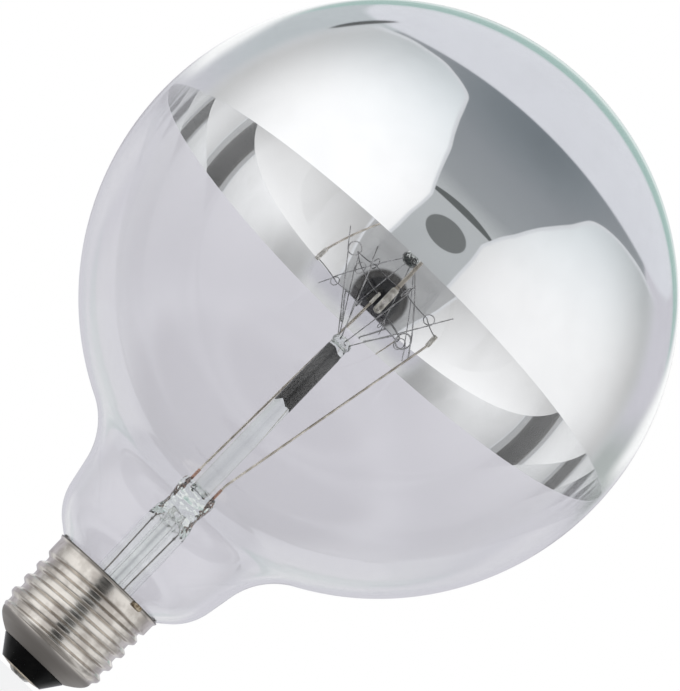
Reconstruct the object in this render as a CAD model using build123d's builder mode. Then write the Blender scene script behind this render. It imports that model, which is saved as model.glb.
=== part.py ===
# A large globe lamp with a mirrored crown and a screw cap, standing on its contact.
# Millimetres. The lamp's axis is Z, and Z is 0 at the flat tip of the contact's solder.
# The front, from which the two leads show side by side, faces -Y.

import os
from math import atan, cos, pi, radians, sin, sqrt, tan

from build123d import *

os.makedirs("parts", exist_ok=True)

# Globe and neck, one blown glass
GLOBE_DIAMETER = 125.0
GLASS_WALL = 0.7
NECK_TOP = 49.4
NECK_TOP_RADIUS = 22.2
NECK_TAPER = 11.3
NECK_FILLET = 15.8
SHOULDER_HEIGHT = 31.6
SHOULDER_FILLET = 12.3
NECK_END = 19.0
NECK_BEND_FILLET = 2.0

# Mirror inside the crown
MIRROR_FILM = 0.1
MIRROR_RIM_ABOVE_CENTRE = 0.5

# Screw cap
CAP_RADIUS = 13.0
CAP_HEIGHT = 27.0
CAP_WALL = 0.3
CAP_LIP = 0.35
CAP_CONE_TOP = 8.8
THREAD_PITCH = 3.629
THREAD_DEPTH = 0.95
CREST_BELOW_SKIRT = 0.05
THREAD_LEAD_IN = 0.7
THREAD_TOP = 23.1
THREAD_FIRST_CREST = 10.4
CEMENT_GAP = 0.95
SEAT_GAP = 0.05
NOTCH_WIDTH = 1.6
NOTCH_DEPTH = 0.9
SIDE_AZIMUTH = -54.3

# Insulator and contact
INSULATOR_TOP_RADIUS = 8.1
INSULATOR_TOP = 5.0
INSULATOR_END_RADIUS = 5.2
INSULATOR_END = 1.0
INSULATOR_DISH = 3.4
CONTACT_RADIUS = 4.8
CONTACT_WALL = 0.3
CONTACT_DISH = 0.45
CONTACT_EYE = 1.1
SOLDER_RADIUS = 2.7
SOLDER_FLAT = 1.4
SOLDER_RISE = 0.75
SOLDER_PLUG = 0.6
RIM_SOLDER_LENGTH = 2.7
RIM_SOLDER_WIDTH = 1.2
RIM_SOLDER_RISE = 0.45
RIM_SOLDER_EDGE = 0.3

# Stem: flare tube, press, exhaust tube and arbor
STEM_OFFSET = 0.85
FLARE_RADIUS = 4.75
FLARE_WALL = 0.75
FLARE_TUBE_FROM = 28.0
PRESS_BOTTOM = 45.4
PRESS_TOP = 54.4
PRESS_WIDTH = 8.5
PRESS_THICKNESS = 4.6
EXHAUST_RADIUS = 1.85
EXHAUST_BORE = 1.2
EXHAUST_TIP = 11.5
EXHAUST_TIP_LENGTH = 4.1
EXHAUST_TIP_GLASS = 1.2
EXHAUST_IN_PRESS = 1.6
BLOW_HOLE = 0.7
ARBOR_RADIUS = 2.05
ARBOR_SEAT = 1.4
BUTTON_HEIGHT = 95.7
BUTTON_RADIUS = 2.35
BUTTON_THICKNESS = 2.9
COAT_BELOW_BUTTON = 1.7
COAT_LENGTH = 16.4
COAT_WALL = 0.08
COAT_SLANT = 1.6
COAT_NOTCH = 1.7

# Wires
SEAL_WIRE = 0.45
SEAL_TAIL = 1.6
SEAL_STUB = 0.65
SEAL_STUB_HEIGHT = 1.9
LEAD_SPACING = 6.2
LEAD_WIRE = 0.5
LEAD_BEND = 1.5
OUTER_WIRE = 0.34
KNOT_RADIUS = 0.34
KNOT_DROP = 2.2
SUPPORT_WIRE = 0.25
LOOP_PITCH = 0.4
LOOP_TURNS = 1.0
FILAMENT_WIRE = 0.3
FILAMENT_GAP = 0.25
FILAMENT_SAG = 0.9
FILAMENT_BOW = 4.0
FILAMENT_KINK = 0.5
CLAMP_LENGTH = 3.0
CLAMP_WIDTH = 1.05
CLAMP_THICKNESS = 0.75
CLAMP_EDGE = 0.3
CLAMP_TOP = 111.6

# Sizes that follow
globe_radius = GLOBE_DIAMETER / 2
globe_centre = NECK_TOP + sqrt(globe_radius**2 - NECK_TOP_RADIUS**2)
crown_height = globe_centre + globe_radius
shoulder_radius = NECK_TOP_RADIUS - (NECK_TOP - SHOULDER_HEIGHT) * tan(radians(NECK_TAPER))
thread_root = CAP_RADIUS - THREAD_DEPTH
neck_end_radius = thread_root - CAP_WALL - CEMENT_GAP
rim_glass_radius = CAP_RADIUS - 3 * CAP_WALL
rim_glass_height = CAP_HEIGHT - 0.6
neck_bend_height = THREAD_TOP - 1.1
seal_end = PRESS_BOTTOM - SEAL_TAIL
left_lead_x = STEM_OFFSET - LEAD_SPACING / 2
right_lead_x = STEM_OFFSET + LEAD_SPACING / 2
coat_top = BUTTON_HEIGHT - COAT_BELOW_BUTTON
coat_bottom = coat_top - COAT_LENGTH
stem_axis = Axis((STEM_OFFSET, 0, 0), (0, 0, 1))
stem_section = Plane(origin=(STEM_OFFSET, 0, 0), x_dir=(1, 0, 0), z_dir=(0, -1, 0))


def round_wire(path, diameter):
    """A round wire of one diameter along a path of straight runs and arcs."""
    route = path.wire()
    with BuildPart() as wire:
        with BuildSketch(Plane(origin=route @ 0, z_dir=route % 0)):
            Circle(diameter / 2)
        sweep(path=route)
    return wire


def at_azimuth(azimuth, radius, height, centre_x=0.0):
    """A point at an azimuth, a radius and a height about an upright line."""
    angle = radians(azimuth)
    return Vector(centre_x + radius * cos(angle), radius * sin(angle), height)


def write(piece, node):
    """Label a finished piece and write it to its own file."""
    piece.part.label = node
    export_step(piece.part, f"parts/{node}.step")


# Globe: the whole silhouette, its wall inside it, then half of that turned about the axis
below_end = NECK_END - 3 * GLASS_WALL
with BuildPart() as globe_glass:
    with BuildSketch(Plane.XZ) as globe_section:
        with BuildLine():
            ThreePointArc((NECK_TOP_RADIUS, NECK_TOP), (0, crown_height), (-NECK_TOP_RADIUS, NECK_TOP))
            Polyline(
                (-NECK_TOP_RADIUS, NECK_TOP),
                (-shoulder_radius, SHOULDER_HEIGHT),
                (-rim_glass_radius, rim_glass_height),
                (-neck_end_radius, neck_bend_height),
                (-neck_end_radius, below_end),
                (neck_end_radius, below_end),
                (neck_end_radius, neck_bend_height),
                (rim_glass_radius, rim_glass_height),
                (shoulder_radius, SHOULDER_HEIGHT),
                (NECK_TOP_RADIUS, NECK_TOP),
            )
        make_face()
        for height, bend in (
            (NECK_TOP, NECK_FILLET),
            (SHOULDER_HEIGHT, SHOULDER_FILLET),
            (rim_glass_height, NECK_BEND_FILLET),
            (neck_bend_height, NECK_BEND_FILLET),
        ):
            corners = [v for v in globe_section.vertices() if abs(v.Y - height) < 0.01]
            fillet(corners, bend)
        offset(amount=-GLASS_WALL, kind=Kind.INTERSECTION, mode=Mode.SUBTRACT)
        Rectangle(GLOBE_DIAMETER, 3 * crown_height, align=(Align.MAX, Align.CENTER), mode=Mode.SUBTRACT)
        with Locations((0, NECK_END)):
            Rectangle(GLOBE_DIAMETER, NECK_END, align=(Align.CENTER, Align.MAX), mode=Mode.SUBTRACT)
    revolve(axis=Axis.Z)
write(globe_glass, "globe_glass")

# Mirror: a thin cup on the inner face of the glass, from its rim up to the crown
mirror_outer = globe_radius - GLASS_WALL
mirror_inner = mirror_outer - MIRROR_FILM
rim_height = globe_centre + MIRROR_RIM_ABOVE_CENTRE
outer_rim = (sqrt(mirror_outer**2 - MIRROR_RIM_ABOVE_CENTRE**2), rim_height)
inner_rim = (sqrt(mirror_inner**2 - MIRROR_RIM_ABOVE_CENTRE**2), rim_height)
outer_middle = (mirror_outer * cos(pi / 4), globe_centre + mirror_outer * sin(pi / 4))
inner_middle = (mirror_inner * cos(pi / 4), globe_centre + mirror_inner * sin(pi / 4))
with BuildPart() as crown_mirror:
    with BuildSketch(Plane.XZ):
        with BuildLine():
            ThreePointArc(outer_rim, outer_middle, (0, globe_centre + mirror_outer))
            Line((0, globe_centre + mirror_outer), (0, globe_centre + mirror_inner))
            ThreePointArc((0, globe_centre + mirror_inner), inner_middle, inner_rim)
            Line(inner_rim, outer_rim)
        make_face()
    revolve(axis=Axis.Z)
write(crown_mirror, "crown_mirror")

# Seal wires: straight through the press, with a thicker welded stub above it
seal_wires = []
for side, lead_x in (("left", left_lead_x), ("right", right_lead_x)):
    with BuildPart() as seal_wire:
        with BuildSketch(Plane((lead_x, 0, seal_end))):
            Circle(SEAL_WIRE / 2)
        extrude(amount=PRESS_TOP - seal_end)
        with BuildSketch(Plane((lead_x, 0, PRESS_TOP))):
            Circle(SEAL_STUB / 2)
        extrude(amount=SEAL_STUB_HEIGHT)
    write(seal_wire, f"seal_wire_{side}")
    seal_wires.append(seal_wire)

# Exhaust tube: drawn to a sealed tip at the bottom, open into the press at the top
exhaust_top = PRESS_BOTTOM + EXHAUST_IN_PRESS
tip_end = EXHAUST_TIP + EXHAUST_TIP_LENGTH
tip_bore = EXHAUST_TIP + EXHAUST_TIP_GLASS
bore_end = tip_end + EXHAUST_RADIUS - EXHAUST_BORE
with BuildPart() as exhaust_tube:
    with BuildSketch(stem_section):
        with BuildLine():
            Line((0, EXHAUST_TIP), (0, tip_bore))
            Spline((0, tip_bore), (EXHAUST_BORE, bore_end), tangents=[(1, 0.6), (0, 1)])
            Polyline(
                (EXHAUST_BORE, bore_end),
                (EXHAUST_BORE, exhaust_top),
                (EXHAUST_RADIUS, exhaust_top),
                (EXHAUST_RADIUS, tip_end),
            )
            Spline((EXHAUST_RADIUS, tip_end), (0, EXHAUST_TIP), tangents=[(0, -1), (-1, 0)])
        make_face()
    revolve(axis=stem_axis)
write(exhaust_tube, "exhaust_tube")

# Filament supports: each leaves the button outwards and up, turns one loop and ends in a tail.
# Each row is the azimuth, the reach and the height of the loop's lowest point, the loop's
# radius and the tail's length.
SUPPORTS = (
    (-18.0, 11.3, 110.8, 1.15, 5.0),
    (-77.0, 12.4, 110.2, 1.2, 3.2),
    (-121.0, 12.9, 110.2, 1.25, 4.2),
    (-169.0, 13.0, 110.9, 1.45, 4.6),
    (135.0, 12.8, 110.6, 1.3, 3.0),
)
supports = []
filament_holds = []
for number, (azimuth, reach, height, loop_radius, tail) in enumerate(SUPPORTS, 1):
    start = at_azimuth(azimuth, 0.55 * BUTTON_RADIUS, BUTTON_HEIGHT + 0.1, STEM_OFFSET)
    touch = at_azimuth(azimuth, reach, height, STEM_OFFSET)
    along = (touch - start).normalized()
    sideways = at_azimuth(azimuth + 90, 1, 0)
    inward = along.cross(sideways)
    if inward.dot(at_azimuth(azimuth, 1, 0)) > 0:
        inward = inward * -1
    loop_centre = touch + inward * loop_radius
    rise = atan(LOOP_PITCH / (2 * pi * loop_radius))
    loop_axis = along.cross(inward) * cos(rise) + along * sin(rise)
    loop_plane = Plane(origin=loop_centre, x_dir=inward * -1, z_dir=loop_axis)
    loop = loop_plane * Helix(LOOP_PITCH, LOOP_PITCH * LOOP_TURNS, loop_radius)
    with BuildLine() as support_path:
        Line(start, loop @ 0)
        add(loop)
        Line(loop @ 1, (loop @ 1) + (loop % 1) * tail)
    filament_support = round_wire(support_path, SUPPORT_WIRE)
    write(filament_support, f"filament_support_{number}")
    supports.append(filament_support)
    to_axis = at_azimuth(azimuth, 1, 0) * -1
    slack = loop_radius - (SUPPORT_WIRE + FILAMENT_WIRE) / 2 - FILAMENT_GAP
    middle = loop_axis * (LOOP_PITCH * LOOP_TURNS / 2)
    filament_holds.append(loop_centre + middle + to_axis * slack)

# Inner leads: straight from the stubs on the press to the two ends of the filament
LEAD_ENDS = {"left": (95.5, 15.5), "right": (21.5, 14.4)}
lead_bottom = PRESS_TOP + SEAL_STUB_HEIGHT
lead_tops = {}
inner_leads = {}
for side, lead_x in (("left", left_lead_x), ("right", right_lead_x)):
    azimuth, reach = LEAD_ENDS[side]
    lead_top = at_azimuth(azimuth, reach, CLAMP_TOP - 0.6 * CLAMP_LENGTH, STEM_OFFSET)
    with BuildLine() as lead_path:
        FilletPolyline(
            Vector(lead_x, 0, lead_bottom),
            Vector(lead_x, 0, lead_bottom + 0.8 * LEAD_BEND),
            lead_top - Vector(0, 0, 0.4 * CLAMP_LENGTH),
            lead_top,
            radius=LEAD_BEND,
        )
    inner_lead = round_wire(lead_path, LEAD_WIRE)
    write(inner_lead, f"inner_lead_{side}")
    lead_tops[side] = lead_top
    inner_leads[side] = inner_lead

# Filament: from clamp to clamp through the five loops, sagging a little between them
filament_ends = {side: lead_tops[side] + Vector(0, 0, 0.45 * CLAMP_LENGTH) for side in lead_tops}
stations = [filament_ends["right"]] + filament_holds + [filament_ends["left"]]
filament_points = [stations[0]]
filament_bends = []
for before, after in zip(stations, stations[1:]):
    filament_points.append((before + after) / 2 - Vector(0, 0, FILAMENT_SAG))
    filament_points.append(after)
    filament_bends.extend([FILAMENT_BOW, FILAMENT_KINK])
with BuildLine() as filament_path:
    FilletPolyline(*filament_points, radius=filament_bends[:-1])
filament = round_wire(filament_path, FILAMENT_WIRE)
write(filament, "filament")

# Clamps: flattened sleeves that grip the lead from below and the filament's leg from the side
for side in ("left", "right"):
    azimuth, reach = LEAD_ENDS[side]
    outward = at_azimuth(azimuth, 1, 0)
    clamp_middle = lead_tops[side] + Vector(0, 0, 0.1 * CLAMP_LENGTH)
    with BuildPart() as lead_clamp:
        with BuildSketch(Plane(origin=clamp_middle, x_dir=outward, z_dir=(0, 0, 1))):
            RectangleRounded(CLAMP_WIDTH, CLAMP_THICKNESS, CLAMP_EDGE)
        extrude(amount=CLAMP_LENGTH / 2, both=True)
        fillet(lead_clamp.edges().group_by(Axis.Z)[-1], CLAMP_EDGE)
        add(inner_leads[side].part, mode=Mode.SUBTRACT)
        add(filament.part, mode=Mode.SUBTRACT)
    write(lead_clamp, f"lead_clamp_{side}")

# Arbor: a glass rod that stands in the press, with the button melted on its top round the wires
with BuildPart() as arbor_rod:
    with BuildSketch(stem_section):
        with BuildLine():
            Polyline(
                (0, BUTTON_HEIGHT),
                (0, PRESS_TOP - ARBOR_SEAT),
                (ARBOR_RADIUS, PRESS_TOP - ARBOR_SEAT),
                (ARBOR_RADIUS, BUTTON_HEIGHT),
                (0, BUTTON_HEIGHT),
            )
        make_face()
        with Locations((0, BUTTON_HEIGHT)):
            Ellipse(BUTTON_RADIUS, BUTTON_THICKNESS / 2)
        Rectangle(GLOBE_DIAMETER, 3 * crown_height, align=(Align.MAX, Align.CENTER), mode=Mode.SUBTRACT)
    revolve(axis=stem_axis)
    for filament_support in supports:
        add(filament_support.part, mode=Mode.SUBTRACT)
write(arbor_rod, "arbor_rod")

# Coat: a thin dark layer round the upper rod, slanted at its top and notched at its bottom
with BuildPart() as arbor_coat:
    with BuildSketch(Plane((STEM_OFFSET, 0, coat_bottom))):
        Circle(ARBOR_RADIUS + COAT_WALL)
        Circle(ARBOR_RADIUS, mode=Mode.SUBTRACT)
    extrude(amount=COAT_LENGTH)
    with BuildSketch(stem_section):
        with BuildLine():
            Polyline(
                (-0.2 * ARBOR_RADIUS, coat_top + 1),
                (-0.2 * ARBOR_RADIUS, coat_top),
                (1.2 * ARBOR_RADIUS, coat_top - COAT_SLANT),
                (1.2 * ARBOR_RADIUS, coat_top + 1),
                close=True,
            )
        make_face()
        with BuildLine():
            Polyline(
                (-1.2 * ARBOR_RADIUS, coat_bottom - 1),
                (-0.9 * ARBOR_RADIUS, coat_bottom),
                (-0.2 * ARBOR_RADIUS, coat_bottom + COAT_NOTCH),
                (0.1 * ARBOR_RADIUS, coat_bottom + 0.25 * COAT_NOTCH),
                (0.5 * ARBOR_RADIUS, coat_bottom + 0.7 * COAT_NOTCH),
                (0.9 * ARBOR_RADIUS, coat_bottom),
                (1.2 * ARBOR_RADIUS, coat_bottom - 1),
                close=True,
            )
        make_face()
    extrude(amount=2 * ARBOR_RADIUS, both=True, mode=Mode.SUBTRACT)
write(arbor_coat, "arbor_coat")

# Flare tube and press: a trumpet from the neck's end to the tube, flattened on the wires
inner_neck_radius = neck_end_radius - GLASS_WALL
flare_steps = (
    (NECK_END + 0.7, inner_neck_radius, 0.0),
    (NECK_END + 2.4, 0.5 * (inner_neck_radius + FLARE_RADIUS) + 0.4, 0.3 * STEM_OFFSET),
    (NECK_END + 5.0, FLARE_RADIUS + 1.0, 0.7 * STEM_OFFSET),
    (FLARE_TUBE_FROM, FLARE_RADIUS, STEM_OFFSET),
)
press_steps = (
    (PRESS_BOTTOM, 1.06 * PRESS_WIDTH, 1.15 * PRESS_THICKNESS),
    (PRESS_BOTTOM + 3.6, 0.95 * PRESS_WIDTH, 0.9 * PRESS_THICKNESS),
    (PRESS_BOTTOM + 5.6, 1.02 * PRESS_WIDTH, PRESS_THICKNESS),
    (PRESS_TOP, PRESS_WIDTH, PRESS_THICKNESS),
)
tube_top = PRESS_BOTTOM - 2.0
with BuildPart() as stem_flare:
    with BuildSketch(Plane((0, 0, NECK_END))):
        Circle(inner_neck_radius)
    extrude(amount=0.7)
    for height, radius, shift in flare_steps:
        with BuildSketch(Plane((shift, 0, height))):
            Circle(radius)
    loft()
    with BuildSketch(Plane((STEM_OFFSET, 0, FLARE_TUBE_FROM))):
        Circle(FLARE_RADIUS)
    extrude(amount=tube_top - FLARE_TUBE_FROM)
    with BuildSketch(Plane((STEM_OFFSET, 0, tube_top))):
        Circle(FLARE_RADIUS)
    with BuildSketch(Plane((STEM_OFFSET, 0, PRESS_BOTTOM))):
        RectangleRounded(press_steps[0][1], press_steps[0][2], 0.3 * PRESS_THICKNESS)
    loft()
    for height, width, thickness in press_steps:
        with BuildSketch(Plane((STEM_OFFSET, 0, height))):
            RectangleRounded(width, thickness, 0.3 * PRESS_THICKNESS)
    loft()
    fillet(stem_flare.edges().group_by(Axis.Z)[-1], 0.4)
    with BuildSketch(Plane((0, 0, NECK_END))):
        Circle(inner_neck_radius - FLARE_WALL)
    extrude(amount=0.7, mode=Mode.SUBTRACT)
    for height, radius, shift in flare_steps:
        with BuildSketch(Plane((shift, 0, height))):
            Circle(radius - FLARE_WALL)
    loft(mode=Mode.SUBTRACT)
    with BuildSketch(Plane((STEM_OFFSET, 0, FLARE_TUBE_FROM))):
        Circle(FLARE_RADIUS - FLARE_WALL)
    extrude(amount=tube_top - FLARE_TUBE_FROM, mode=Mode.SUBTRACT)
    with BuildSketch(Plane((STEM_OFFSET, 0, tube_top))):
        Circle(FLARE_RADIUS - FLARE_WALL)
    extrude(amount=1.4, taper=25, mode=Mode.SUBTRACT)
    with BuildSketch(Plane((STEM_OFFSET, 0, tube_top))):
        Circle(EXHAUST_RADIUS)
    extrude(amount=exhaust_top - tube_top, mode=Mode.SUBTRACT)
    with BuildSketch(stem_section):
        with Locations((0, exhaust_top - BLOW_HOLE)):
            Circle(BLOW_HOLE)
    extrude(amount=PRESS_THICKNESS, mode=Mode.SUBTRACT)
    add(arbor_rod.part, mode=Mode.SUBTRACT)
    for seal_wire in seal_wires:
        add(seal_wire.part, mode=Mode.SUBTRACT)
write(stem_flare, "stem_flare")


# Screw shell: a thin shell rolled into a round thread, so both of its faces follow the thread
cone_foot = (INSULATOR_TOP_RADIUS, INSULATOR_TOP)
cone_middle = (0.5 * (INSULATOR_TOP_RADIUS + thread_root) + 0.25, 0.5 * (INSULATOR_TOP + CAP_CONE_TOP))
lip_foot = CAP_HEIGHT - 2 * CAP_LIP
thread_foot = 0.2
thread_flank = 0.35 * THREAD_PITCH
crest_half = 0.2 * THREAD_PITCH
crest_rise = THREAD_DEPTH - CREST_BELOW_SKIRT
crest_edge = crest_rise - 0.35
thread_turns = (THREAD_TOP - THREAD_FIRST_CREST) / THREAD_PITCH + THREAD_LEAD_IN + 0.6


def thread_ridge(inset):
    """The rolled ridge with its faces moved in, faded out on the cone and cut off at the skirt."""
    root = thread_root - inset
    skirt = CAP_RADIUS - inset
    cut_off = THREAD_TOP + CAP_WALL / 2 + 1.5 * inset
    first = THREAD_FIRST_CREST - THREAD_LEAD_IN * THREAD_PITCH
    turned = Pos(0, 0, first) * Rot(0, 0, -360 * THREAD_LEAD_IN)
    helix = turned * Helix(THREAD_PITCH, THREAD_PITCH * thread_turns, root)
    radial = Vector((helix @ 0).X, (helix @ 0).Y, 0).normalized()
    with BuildPart() as ridge:
        with BuildSketch(Plane(origin=helix @ 0, x_dir=radial, z_dir=helix % 0)):
            with BuildLine():
                crest = ThreePointArc((crest_edge, -crest_half), (crest_rise, 0), (crest_edge, crest_half))
                Polyline(
                    crest @ 1,
                    (-thread_foot, thread_flank),
                    (-thread_foot, -thread_flank),
                    crest @ 0,
                )
            make_face()
        sweep(path=helix, is_frenet=True)
        with BuildSketch(Plane.XZ):
            with BuildLine():
                Polyline(
                    (0, CAP_CONE_TOP - 0.2),
                    (root - 0.1, CAP_CONE_TOP - 0.2),
                    (skirt + 0.3, CAP_CONE_TOP + 1.6),
                    (skirt + 0.3, cut_off),
                    (0, cut_off),
                    close=True,
                )
            make_face()
        revolve(axis=Axis.Z, mode=Mode.INTERSECT)
    return ridge


notch_place = at_azimuth(SIDE_AZIMUTH, CAP_RADIUS, CAP_HEIGHT)
notch_plane = Plane(origin=notch_place, x_dir=at_azimuth(SIDE_AZIMUTH, 1, 0), z_dir=(0, 0, 1))
with BuildPart() as cap_shell:
    with BuildSketch(Plane.XZ):
        with BuildLine():
            cone_line = ThreePointArc(cone_foot, cone_middle, (thread_root, CAP_CONE_TOP))
            Polyline(
                cone_line @ 1,
                (thread_root, THREAD_TOP),
                (CAP_RADIUS, THREAD_TOP),
                (CAP_RADIUS, lip_foot),
                (CAP_RADIUS + CAP_LIP, CAP_HEIGHT),
                (CAP_RADIUS + CAP_LIP - CAP_WALL, CAP_HEIGHT),
                (CAP_RADIUS - CAP_WALL, lip_foot),
                (CAP_RADIUS - CAP_WALL, THREAD_TOP + CAP_WALL),
                (thread_root - CAP_WALL, THREAD_TOP + CAP_WALL),
                (thread_root - CAP_WALL, CAP_CONE_TOP),
            )
            ThreePointArc(
                (thread_root - CAP_WALL, CAP_CONE_TOP),
                (cone_middle[0] - CAP_WALL, cone_middle[1]),
                (INSULATOR_TOP_RADIUS - CAP_WALL, INSULATOR_TOP),
            )
            Line((INSULATOR_TOP_RADIUS - CAP_WALL, INSULATOR_TOP), cone_line @ 0)
        make_face()
    revolve(axis=Axis.Z)
    add(thread_ridge(0).part)
    add(thread_ridge(CAP_WALL).part, mode=Mode.SUBTRACT)
    with BuildSketch(notch_plane):
        Rectangle(4 * CAP_WALL + 2 * CAP_LIP, NOTCH_WIDTH)
    extrude(amount=-NOTCH_DEPTH, mode=Mode.SUBTRACT)
write(cap_shell, "cap_shell")

# Outer leads: thin wires welded to the seal wires below the press, each with a weld knot.
# One runs down the axis to the contact, the other round the neck's end and up to the rim.
knot_height = seal_end - KNOT_DROP
under_neck = NECK_END - 1.6
cement_wire_radius = neck_end_radius + CEMENT_GAP / 2
rim_wire_radius = 0.5 * (rim_glass_radius + CAP_RADIUS - CAP_WALL)
contact_points = (
    Vector(left_lead_x, 0, seal_end),
    Vector(left_lead_x - 0.15, 0, knot_height),
    Vector(left_lead_x + 0.2, 0, FLARE_TUBE_FROM + 1),
    Vector(left_lead_x, 0, EXHAUST_TIP + 2),
    Vector(0, 0, EXHAUST_TIP - 3),
    Vector(0, 0, INSULATOR_END + 0.2),
)
rim_points = (
    Vector(right_lead_x, 0, seal_end),
    Vector(right_lead_x - 0.1, 0, knot_height),
    Vector(right_lead_x - 0.4, -0.2, FLARE_TUBE_FROM + 1),
    Vector(right_lead_x - 0.2, -0.8, NECK_END + 3),
    at_azimuth(SIDE_AZIMUTH, 0.75 * neck_end_radius, under_neck),
    at_azimuth(SIDE_AZIMUTH, cement_wire_radius, under_neck),
    at_azimuth(SIDE_AZIMUTH, cement_wire_radius, neck_bend_height),
    at_azimuth(SIDE_AZIMUTH, rim_wire_radius, rim_glass_height - 1.2),
    at_azimuth(SIDE_AZIMUTH, rim_wire_radius, CAP_HEIGHT - 0.8 * NOTCH_DEPTH),
    at_azimuth(SIDE_AZIMUTH, CAP_RADIUS + CAP_LIP, CAP_HEIGHT - 0.4 * NOTCH_DEPTH),
)
outer_leads = []
for node, points, bends in (
    ("outer_lead_contact", contact_points, [3, 4, 3, 2]),
    ("outer_lead_rim", rim_points, [3, 4, 1.5, 1.2, 0.45, 1, 0.8, 0.25]),
):
    with BuildLine() as outer_path:
        FilletPolyline(*points, radius=bends)
    with BuildPart() as outer_lead:
        add(round_wire(outer_path, OUTER_WIRE).part)
        with Locations(points[1] + Vector(0, 0, 0.6)):
            Sphere(KNOT_RADIUS)
    write(outer_lead, node)
    outer_leads.append(outer_lead)

# Cement: the ring that fills the space between the neck and the shell
bore_radius = thread_root - CAP_WALL - SEAT_GAP
skirt_bore_radius = CAP_RADIUS - CAP_WALL - SEAT_GAP
bore_top = THREAD_TOP + CAP_WALL + SEAT_GAP
with BuildPart() as cap_cement:
    with BuildSketch(Plane.XZ):
        with BuildLine():
            Polyline(
                (neck_end_radius - GLASS_WALL / 2, NECK_END + 1),
                (bore_radius, NECK_END + 1),
                (bore_radius, bore_top),
                (skirt_bore_radius, bore_top),
                (skirt_bore_radius, rim_glass_height - 0.2),
                (rim_glass_radius - GLASS_WALL / 2, rim_glass_height - 0.2),
                (neck_end_radius - GLASS_WALL / 2, neck_bend_height),
                close=True,
            )
        make_face()
    revolve(axis=Axis.Z)
    add(globe_glass.part, mode=Mode.SUBTRACT)
    add(outer_leads[1].part, mode=Mode.SUBTRACT)
write(cap_cement, "cap_cement")

# Insulator: black glass that fills the shell's lower end and carries the contact
contact_seat = INSULATOR_END + CONTACT_WALL
insulator_waist = 0.5 * (INSULATOR_END_RADIUS + INSULATOR_TOP_RADIUS) + 0.1
mouth_radius = INSULATOR_TOP_RADIUS - CAP_WALL - SEAT_GAP
ledge = INSULATOR_TOP - SEAT_GAP
with BuildPart() as cap_insulator:
    with BuildSketch(Plane.XZ):
        with BuildLine():
            Polyline(
                (CONTACT_EYE, contact_seat),
                (CONTACT_RADIUS, contact_seat),
                (CONTACT_RADIUS, INSULATOR_END),
                (INSULATOR_END_RADIUS, INSULATOR_END),
                (insulator_waist, 0.5 * (INSULATOR_END + ledge)),
                (INSULATOR_TOP_RADIUS, ledge),
                (mouth_radius, ledge),
                (mouth_radius, INSULATOR_TOP),
            )
            ThreePointArc(
                (mouth_radius, INSULATOR_TOP),
                (cone_middle[0] - CAP_WALL - SEAT_GAP, cone_middle[1]),
                (bore_radius, CAP_CONE_TOP),
            )
            ThreePointArc(
                (bore_radius, CAP_CONE_TOP),
                (0.6 * thread_root, CAP_CONE_TOP - 0.75 * INSULATOR_DISH),
                (2 * CONTACT_EYE, CAP_CONE_TOP - INSULATOR_DISH),
            )
            Polyline(
                (2 * CONTACT_EYE, CAP_CONE_TOP - INSULATOR_DISH),
                (CONTACT_EYE, contact_seat + 1.5),
                (CONTACT_EYE, contact_seat),
            )
        make_face()
    revolve(axis=Axis.Z)
write(cap_insulator, "cap_insulator")

# Contact: a pressed plate set in the insulator's end, with an eye for the lead
dish_height = INSULATOR_END - CONTACT_DISH
with BuildPart() as centre_contact:
    with BuildSketch(Plane.XZ):
        with BuildLine():
            TangentArc((CONTACT_EYE, dish_height), (CONTACT_RADIUS, INSULATOR_END), tangent=(1, 0))
            Polyline(
                (CONTACT_RADIUS, INSULATOR_END),
                (CONTACT_RADIUS, contact_seat),
                (CONTACT_EYE, contact_seat),
                (CONTACT_EYE, dish_height),
            )
        make_face()
    revolve(axis=Axis.Z)
write(centre_contact, "centre_contact")

# Solder on the contact: it fills the eye round the lead and stands out as a flattened bead
with BuildPart() as contact_solder:
    with BuildSketch(Plane.XZ):
        with BuildLine():
            Line((0, 0), (SOLDER_FLAT, 0))
            TangentArc((SOLDER_FLAT, 0), (SOLDER_RADIUS, SOLDER_RISE), tangent=(1, 0))
            Polyline((SOLDER_RADIUS, SOLDER_RISE), (0, SOLDER_RISE), (0, 0))
        make_face()
        Rectangle(CONTACT_EYE, contact_seat + SOLDER_PLUG, align=(Align.MIN, Align.MIN))
    revolve(axis=Axis.Z)
    add(centre_contact.part, mode=Mode.SUBTRACT)
    add(outer_leads[0].part, mode=Mode.SUBTRACT)
write(contact_solder, "contact_solder")

# Solder at the rim: a flat bead that fills the notch from outside, round the end of the lead
outward = at_azimuth(SIDE_AZIMUTH, 1, 0)
bead_plane = Plane(
    origin=outward * (CAP_RADIUS - CAP_WALL / 2) + Vector(0, 0, CAP_HEIGHT - RIM_SOLDER_WIDTH / 2),
    x_dir=at_azimuth(SIDE_AZIMUTH + 90, 1, 0),
    z_dir=outward,
)
with BuildPart() as rim_solder:
    with BuildSketch(bead_plane):
        SlotOverall(RIM_SOLDER_LENGTH, RIM_SOLDER_WIDTH)
    extrude(amount=CAP_WALL / 2 + CAP_LIP + RIM_SOLDER_RISE)
    fillet(rim_solder.faces().sort_by(Axis((0, 0, 0), outward))[-1].edges(), RIM_SOLDER_EDGE)
    with BuildSketch(Plane.XZ):
        with BuildLine():
            Polyline(
                (0, CAP_HEIGHT),
                (CAP_RADIUS + CAP_LIP - CAP_WALL, CAP_HEIGHT),
                (CAP_RADIUS - CAP_WALL, lip_foot),
                (CAP_RADIUS - CAP_WALL, THREAD_TOP),
                (0, THREAD_TOP),
                close=True,
            )
        make_face()
    revolve(axis=Axis.Z, mode=Mode.SUBTRACT)
    add(cap_shell.part, mode=Mode.SUBTRACT)
    add(outer_leads[1].part, mode=Mode.SUBTRACT)
write(rim_solder, "rim_solder")
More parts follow.
